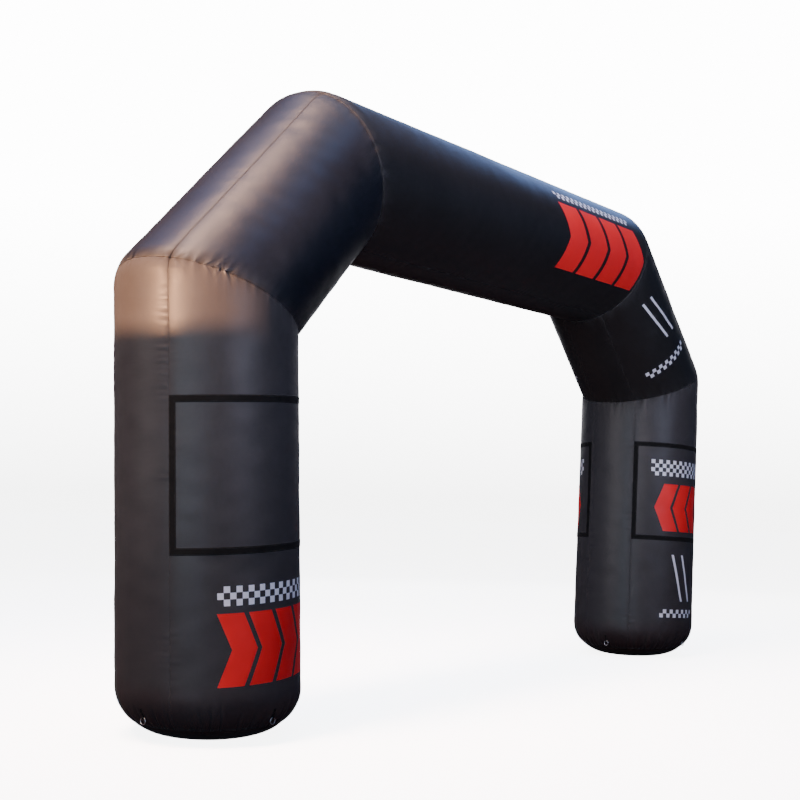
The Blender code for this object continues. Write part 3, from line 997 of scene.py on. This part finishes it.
def clothFinish(name, look, prints=()):
    material, fabric, shader = newFinish(name, {
        "Specular IOR Level": look["specular"],
        "Sheen Weight": look["sheen"],
        "Sheen Roughness": 0.45,
    })
    place = objectPlace(fabric)
    split = fabric.make("ShaderNodeSeparateXYZ", {}, {
        "Vector": fabric.make("ShaderNodeUVMap", {"uv_map": "cloth"}),
    })
    u, v = split, split.port(1)
    fold = fabric.make("ShaderNodeAttribute", {"attribute_name": "fold"}, {}, 2)
    cloudy = noise(fabric, place, 1.9, 4.0).remap(0.30, 0.70, 0.0, 1.0)
    speckle = noise(fabric, place, 46.0, 3.0).remap(0.25, 0.75, -0.5, 0.5)
    shade = cloudy * look["mottle"] + speckle * look["speckle"]
    colour = (shade + 0.5 - 0.5 * look["mottle"]).blend(*shades(look["colour"], 0.80, 1.20))
    # painted reflected light: below a given height the cloth blends towards dark red, standing in for
    # light thrown up from a reddish ground
    if "dust" in look:
        level = fabric.make("ShaderNodeSeparateXYZ", {}, {"Vector": place}, 2)
        low = (level + cloudy * 0.12).remap(*look["dustHeights"], look["dust"], 0.0)
        colour = low.blend(colour, inks["bounceRed"])
    # the back of the tube carries the mirror of the front
    half = math.pi * arch["legRadius"]
    folded = half - (u - half).size()
    for mark in prints:
        a, c = (v, folded * -1.0) if mark.get("turned") else (folded, v)
        mask = motifs[mark["motif"]](a, c, mark)
        colour = mask.blend(colour, cloudy.blend(*shades(inks[mark["ink"]][:3], 0.86, 1.0)))
    # painted shade: where the cloth lies deep in a fold, seam or crease its colour darkens towards a
    # third of itself
    crease = fabric.maths("MAXIMUM", fold * look["foldShade"], 0.0)
    colour = crease.blend(colour, shades(look["colour"], 0.35, 1.0)[0])
    feed(colour, shader, "Base Color")
    gloss = look["roughness"] + cloudy * 0.05 + speckle * 0.05 + crease * 1.8
    feed(gloss, shader, "Roughness")
    weave = (u * look["weavePace"]).sin() * (v * look["weavePace"]).sin()
    crinkle = noise(fabric, stretched(fabric, u, v, 7.0, 16.0), 1.0, 5.0, 0.62)
    tight = noise(fabric, stretched(fabric, u, v, 11.0, 95.0), 1.0, 4.0, 0.6)
    height = weave * look["weave"] + crinkle * look["crinkle"] + tight * look["tight"]
    raised(height, 0.8, shader)
    return material


plainCloth = {"roughness": 0.40, "specular": 0.70, "sheen": 0.02, "mottle": 0.40, "speckle": 0.18,
              "foldShade": 0.35, "weavePace": 4200.0, "weave": 0.00003, "crinkle": 0.0010,
              "tight": 0.00025}
clothLooks = {
    # charcoal turns dark red towards the ground: painted reflected light from a reddish ground
    "charcoal": dict(plainCloth, colour=(0.041, 0.039, 0.042), specular=0.30, sheen=0.03,
                     foldShade=0.40, dust=0.85, dustHeights=(0.14, 0.46), crinkle=0.0012),
    "black": dict(plainCloth, colour=(0.0070, 0.0066, 0.0078)),
    # painted light: this copy of the black cloth for the right slant is painted lighter, standing in
    # for more light falling on it
    "paintedLighterBlack": dict(plainCloth, colour=(0.0092, 0.0088, 0.0098)),
    # painted reflection: this copy of the black cloth for the left slant is tinted blue, standing in
    # for cool sky light on it
    "skyTintedBlack": dict(plainCloth, colour=(0.0036, 0.0044, 0.0092), roughness=0.38,
                       specular=0.60),
    "base": dict(plainCloth, colour=(0.0210, 0.0080, 0.0080), roughness=0.60, specular=0.22,
                 sheen=0.04, mottle=0.55, speckle=0.35, weavePace=3000.0, weave=0.00004,
                 crinkle=0.0016, tight=0.0004),
}


# printed marks, in metres on the cloth: along the reading line, then across it
def arrows(start, levels, **more):
    return dict({"motif": "chevrons", "ink": "red", "start": start, "levels": levels,
                 "pitch": 0.205, "band": 0.172, "slope": 0.42, "count": 4}, **more)


def strip(reach, levels, **more):
    return dict({"motif": "chequers", "ink": "white", "reach": reach, "levels": levels,
                 "cell": 0.040}, **more)


def twinBars(levels):
    return {"motif": "slantBars", "ink": "white", "start": 0.92, "levels": levels,
            "pitch": 0.13, "band": 0.030, "slope": 0.30, "count": 2}


leftLegPrints = (arrows(0.62, (0.395, 0.84)), strip((0.53, 1.35), (0.885, 1.005)))
rightLegPrints = (
    arrows(0.64, (1.25, 1.72)),
    strip((0.55, 1.47), (1.80, 1.96)),
    twinBars((0.56, 1.02)),
    strip((0.86, 1.34), (0.40, 0.48)),
)
rightSlantPrints = (twinBars((0.70, 1.20)), strip((0.86, 1.46), (0.42, 0.50)))
beamPrints = (
    arrows(2.72, (-1.28, -0.66), pitch=0.37, band=0.315, slope=0.40, turned=True),
    strip((2.60, 4.00), (-0.61, -0.53), turned=True),
)


def webbingFinish(name, colour, roughness, pace):
    material, band, shader = newFinish(name, {"Specular IOR Level": 0.16, "Sheen Weight": 0.03})
    place = objectPlace(band)
    parts = band.make("ShaderNodeSeparateXYZ", {}, {"Vector": place})
    x, y, z = parts, parts.port(1), parts.port(2)
    ribs = ((x + y) * pace).sin() * (z * pace).sin()
    cloudy = noise(band, place, 9.0, 4.0).remap(0.3, 0.7, 0.0, 1.0)
    fuzz = noise(band, place, 380.0, 2.0)
    feed((cloudy * 0.6 + fuzz * 0.4).blend(*shades(colour, 0.7, 1.35)), shader, "Base Color")
    feed(roughness + fuzz * 0.12, shader, "Roughness")
    raised(ribs * 0.00008 + fuzz * 0.0001, 0.7, shader)
    return material


def steelFinish(name):
    material, metal, shader = newFinish(name, {"Metallic": 1.0})
    place = objectPlace(metal)
    cloudy = noise(metal, place, 60.0, 3.0)
    scratch = noise(metal, place, 900.0, 2.0)
    feed(cloudy.blend((0.52, 0.52, 0.53, 1.0), (0.74, 0.74, 0.75, 1.0)), shader, "Base Color")
    feed(0.22 + cloudy * 0.16 + scratch * 0.10, shader, "Roughness")
    raised(scratch * 0.00006, 0.4, shader)
    return material


def threadFinish(name, colour):
    material, yarn, shader = newFinish(name, {"Specular IOR Level": 0.3, "Sheen Weight": 0.2})
    place = objectPlace(yarn)
    shade = noise(yarn, place, 120.0, 2.0)
    feed(shade.blend(*shades(colour, 0.7, 1.3)), shader, "Base Color")
    feed(0.55 + shade * 0.2, shader, "Roughness")
    raised(noise(yarn, place, 1400.0, 1.0) * 0.0001, 0.5, shader)
    return material


def floorFinish(name, look):
    # pale to the eye; other rays meet a dim ground, so little light comes up from it
    material = bpy.data.materials.new(name)
    material.use_nodes = True
    material.node_tree.nodes.clear()
    ground = Wire(material.node_tree)
    cloudy = noise(ground, objectPlace(ground), 0.4, 2.0)
    pale = look["pale"]
    tone = cloudy.blend((pale * 0.98, pale * 0.98, pale * 0.99, 1), (pale, pale, pale, 1))
    lit = ground.make("ShaderNodeBsdfDiffuse", {}, {"Color": tone})
    glow = ground.make("ShaderNodeEmission", {}, {"Strength": look["glow"]})
    seen = ground.make("ShaderNodeAddShader", {}, {0: lit, 1: glow})
    unseen = ground.make("ShaderNodeBsdfDiffuse", {}, {"Color": look["dim"]})
    path = ground.make("ShaderNodeLightPath")
    both = ground.make("ShaderNodeMixShader", {}, {0: path, 1: unseen, 2: seen})
    ground.make("ShaderNodeOutputMaterial", {}, {"Surface": both})
    return material


# build
stitchTree = makeStitchTree()
finishes = {
    "leftLeg": clothFinish("charcoalClothLeft", clothLooks["charcoal"], leftLegPrints),
    "rightLeg": clothFinish("charcoalClothRight", clothLooks["charcoal"], rightLegPrints),
    "leftSlant": clothFinish("blackClothLeft", clothLooks["skyTintedBlack"]),
    "rightSlant": clothFinish("blackClothRight", clothLooks["paintedLighterBlack"], rightSlantPrints),
    "topBeam": clothFinish("blackClothBeam", clothLooks["black"], beamPrints),
    "base": clothFinish("baseCloth", clothLooks["base"]),
}
darkThread = threadFinish("darkThread", (0.0075, 0.0075, 0.0085))
greyThread = threadFinish("greyThread", (0.026, 0.027, 0.030))
tapeFinish = webbingFinish("frameTape", (0.0045, 0.0042, 0.0046), 0.68, 2600.0)
tabFinish = webbingFinish("tabWebbing", (0.010, 0.0095, 0.010), 0.62, 3600.0)
steel = steelFinish("ringSteel")


def nodeOf(name):
    # the solid that a piece stands for
    return "".join("_" + letter.lower() if letter.isupper() else letter for letter in name)


def dressed(item, finish, slot, *nodes):
    item.data.materials.clear()
    item.data.materials.append(finish)
    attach(item, "root")
    if nodes:
        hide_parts(*nodes)
    return item


for name in sections:
    yarn, slot = (greyThread, "charcoal_cloth") if "Leg" in name else (darkThread, "black_cloth")
    skin = dressed(buildSection(name), finishes[name], slot, nodeOf(name))
    sewn(name + "Stitches", seamRuns(name), yarn, slot)
    print("sewn section", name, len(skin.data.polygons), "faces")

for name, legName in (("leftBase", "leftLeg"), ("rightBase", "rightLeg")):
    panel = dressed(buildBase(name, legName), finishes["base"], "base_cloth", nodeOf(name))
print("bases done")

frameThread = []
for name in frames["rectangles"]:
    dressed(buildFrame(name), tapeFinish, "frame_webbing", nodeOf(name))
    frameThread += frameRuns(name)
sewn("frameStitches", frameThread, darkThread, "frame_webbing")
print("banner frames done")

tabThread = []
for side, sign in (("left", 1.0), ("right", -1.0)):
    for place in tether["directions"]:
        label = side + place.capitalize()
        tab, runs = buildTab(label + "Tab", place, sign)
        dressed(tab, tabFinish, "tab_webbing", nodeOf(tab.name))
        tabThread += runs
        ring = buildRing(label + "Ring", place, sign)
        dressed(ring, steel, "ring_steel", nodeOf(ring.name))
sewn("tabStitches", tabThread, darkThread, "tab_webbing", tether["thread"])
print("tether tabs and rings done")

# floor, lights and camera
floorLook = {"pale": 3.0, "glow": 6.0, "dim": (0.060, 0.040, 0.042, 1)}
floorMesh = bpy.data.meshes.new("studioFloor")
floorMesh.from_pydata([(-60, -60, 0), (60, -60, 0), (60, 60, 0), (-60, 60, 0)], [], [(0, 1, 2, 3)])
floorItem = linked("studioFloor", floorMesh)
floorMesh.materials.append(floorFinish("paleFloor", floorLook))

# soft lights stand round the arch: compass angle, height angle, distance, size and power
legSpot, slantSpot, beamSpot = (-3.1, 0.0, 1.6), (-2.7, 0.0, 3.4), (0.5, 0.0, 3.9)
rightSpot = (3.1, 0.0, 1.8)
studio = {
    "aim": (0.0, 0.0, 2.2),
    "softLights": {
        "backSoft": (42, 12, 13, 5, 4, (130, 130, 136)),
        "rightEndSoft": (10, 10, 13, 5, 4, (62, 60, 62)),
        "topSoft": (180, 62, 13, 6, 8, (1130, 700, 520)),
        "overheadSoft": (180, 88, 13, 12, 12, (300, 440, 720)),
        "skySoft": (128, 56, 13, 9, 7, (42, 100, 250)),
        "beamFrontSoft": (262, 5, 12, 8, 3, (68, 76, 104), beamSpot, 60),
        "beamTopSoft": (20, 27, 13, 7, 4, (18, 30, 64), (-0.6, 0.0, 3.9), 70),
        "beamHighSoft": (285, 55, 12, 9, 3, (6, 14, 32), beamSpot, 60),
        "legSoft": (215, 4, 12, 2, 5, (12, 16, 23), legSpot, 60),
        "legLeftSoft": (196, 6, 12, 3, 4, (23, 34, 42), legSpot, 60),
        "slantFrontSoft": (258, 2, 12, 4, 3, (11, 10, 13), (-2.1, 0.0, 3.6), 34),
        "slantSoft": (180, 48, 10, 3, 3, (148, 97, 75), slantSpot, 50),
        "slantHighSoft": (180, 72, 10, 2, 3, (62, 38, 26), slantSpot, 50),
        "rightSideSoft": (165, 10, 9, 3, 4, (24, 22, 22), rightSpot, 60),
        "rightFrontSoft": (206, 10, 10, 3, 4, (12, 11, 11), rightSpot, 60),
        "rightHighSoft": (218, 12, 10, 3, 3, (24, 20, 21), (2.5, 0.0, 3.8), 50),
    },
    "sky": (0.007, 0.0174, 0.047, 1.0),
    "horizon": 6.0,
    "zenith": 14.0,
    # low sun lamps; their light ends at one height on the left leg
    "sun": {"distance": 14.0, "places": ((179, 3.5), (180, 2.9), (182, 4.2)), "half": 14.0,
            "edge": 0.020, "low": (-3.65, 2.53), "power": 11000.0,
            "colour": (1.0, 0.50, 0.25)},
}


def aimed(lamp, place, aim):
    item = linked(lamp.name, lamp)
    item.location = place
    item.rotation_euler = (Vector(aim) - Vector(place)).to_track_quat("-Z", "Y").to_euler()
    item.visible_camera = False


for name, (compass, rise, away, wide, tall, power, *rest) in studio["softLights"].items():
    lamp = bpy.data.lights.new(name, "AREA")
    lamp.shape = "RECTANGLE"
    lamp.size = wide
    lamp.size_y = tall
    lamp.energy = max(power)
    lamp.color = [part / max(power) for part in power]
    aim, spread = rest if rest else (studio["aim"], 180)
    lamp.spread = math.radians(spread)
    compass, rise = math.radians(compass), math.radians(rise)
    level = away * math.cos(rise)
    place = (aim[0] + level * math.cos(compass), aim[1] + level * math.sin(compass),
             aim[2] + away * math.sin(rise))
    aimed(lamp, place, aim)

sun = studio["sun"]
for number, (compass, height) in enumerate(sun["places"]):
    lamp = bpy.data.lights.new("lowSun" + str(number + 1), "SPOT")
    lamp.energy = sun["power"]
    lamp.color = sun["colour"]
    lamp.spot_size = math.radians(2 * sun["half"])
    lamp.spot_blend = sun["edge"]
    lamp.shadow_soft_size = 0.08
    reach = sun["distance"] + sun["low"][0]
    compass = math.radians(compass)
    place = Vector((sun["low"][0] + reach * math.cos(compass), reach * math.sin(compass), height))
    centre = math.atan2(sun["low"][1] - height, reach) + math.radians(sun["half"])
    level = Vector((-math.cos(compass), -math.sin(compass), 0.0))
    aimed(lamp, place, place + level * math.cos(centre) + Vector((0.0, 0.0, math.sin(centre))))

# the backdrop is bright where it is seen, and a dim cool sky lights the arch
world = bpy.data.worlds.new("studioWorld")
world.use_nodes = True
world.node_tree.nodes.clear()
sky = Wire(world.node_tree)
heading = sky.make("ShaderNodeTexCoord")
rise = sky.make("ShaderNodeSeparateXYZ", {}, {"Vector": heading}).port(2)
glow = rise.remap(0.0, 0.22, studio["horizon"], studio["zenith"])
shown = sky.make("ShaderNodeBackground", {}, {"Color": (1, 1, 1, 1), "Strength": glow})
lit = sky.make("ShaderNodeBackground", {}, {"Color": studio["sky"], "Strength": rise > 0.0})
path = sky.make("ShaderNodeLightPath")
mixed = sky.make("ShaderNodeMixShader", {}, {0: path, 1: lit, 2: shown})
sky.make("ShaderNodeOutputWorld", {}, {"Surface": mixed})
bpy.context.scene.world = world

# the camera stands where the photograph was taken from
view = {"place": (-8.975, -5.969, 1.556), "yaw": 36.947, "pitch": 4.343, "roll": 1.283,
        "lens": 56.89}
yaw, pitch, roll = (math.radians(view[k]) for k in ("yaw", "pitch", "roll"))
ahead = Vector((math.cos(yaw) * math.cos(pitch), math.sin(yaw) * math.cos(pitch),
                math.sin(pitch)))
level = Vector((math.sin(yaw), -math.cos(yaw), 0.0))
above = level.cross(ahead)
rightward = math.cos(roll) * level + math.sin(roll) * above
upward = -math.sin(roll) * level + math.cos(roll) * above
lensItem = bpy.data.cameras.new("photoCamera")
lensItem.lens = view["lens"]
lensItem.sensor_width = 36.0
camera = linked("photoCamera", lensItem)
turn = Matrix((rightward, upward, -ahead)).transposed()
camera.matrix_world = Matrix.Translation(view["place"]) @ turn.to_4x4()
bpy.context.scene.camera = camera
print("lights and camera set")
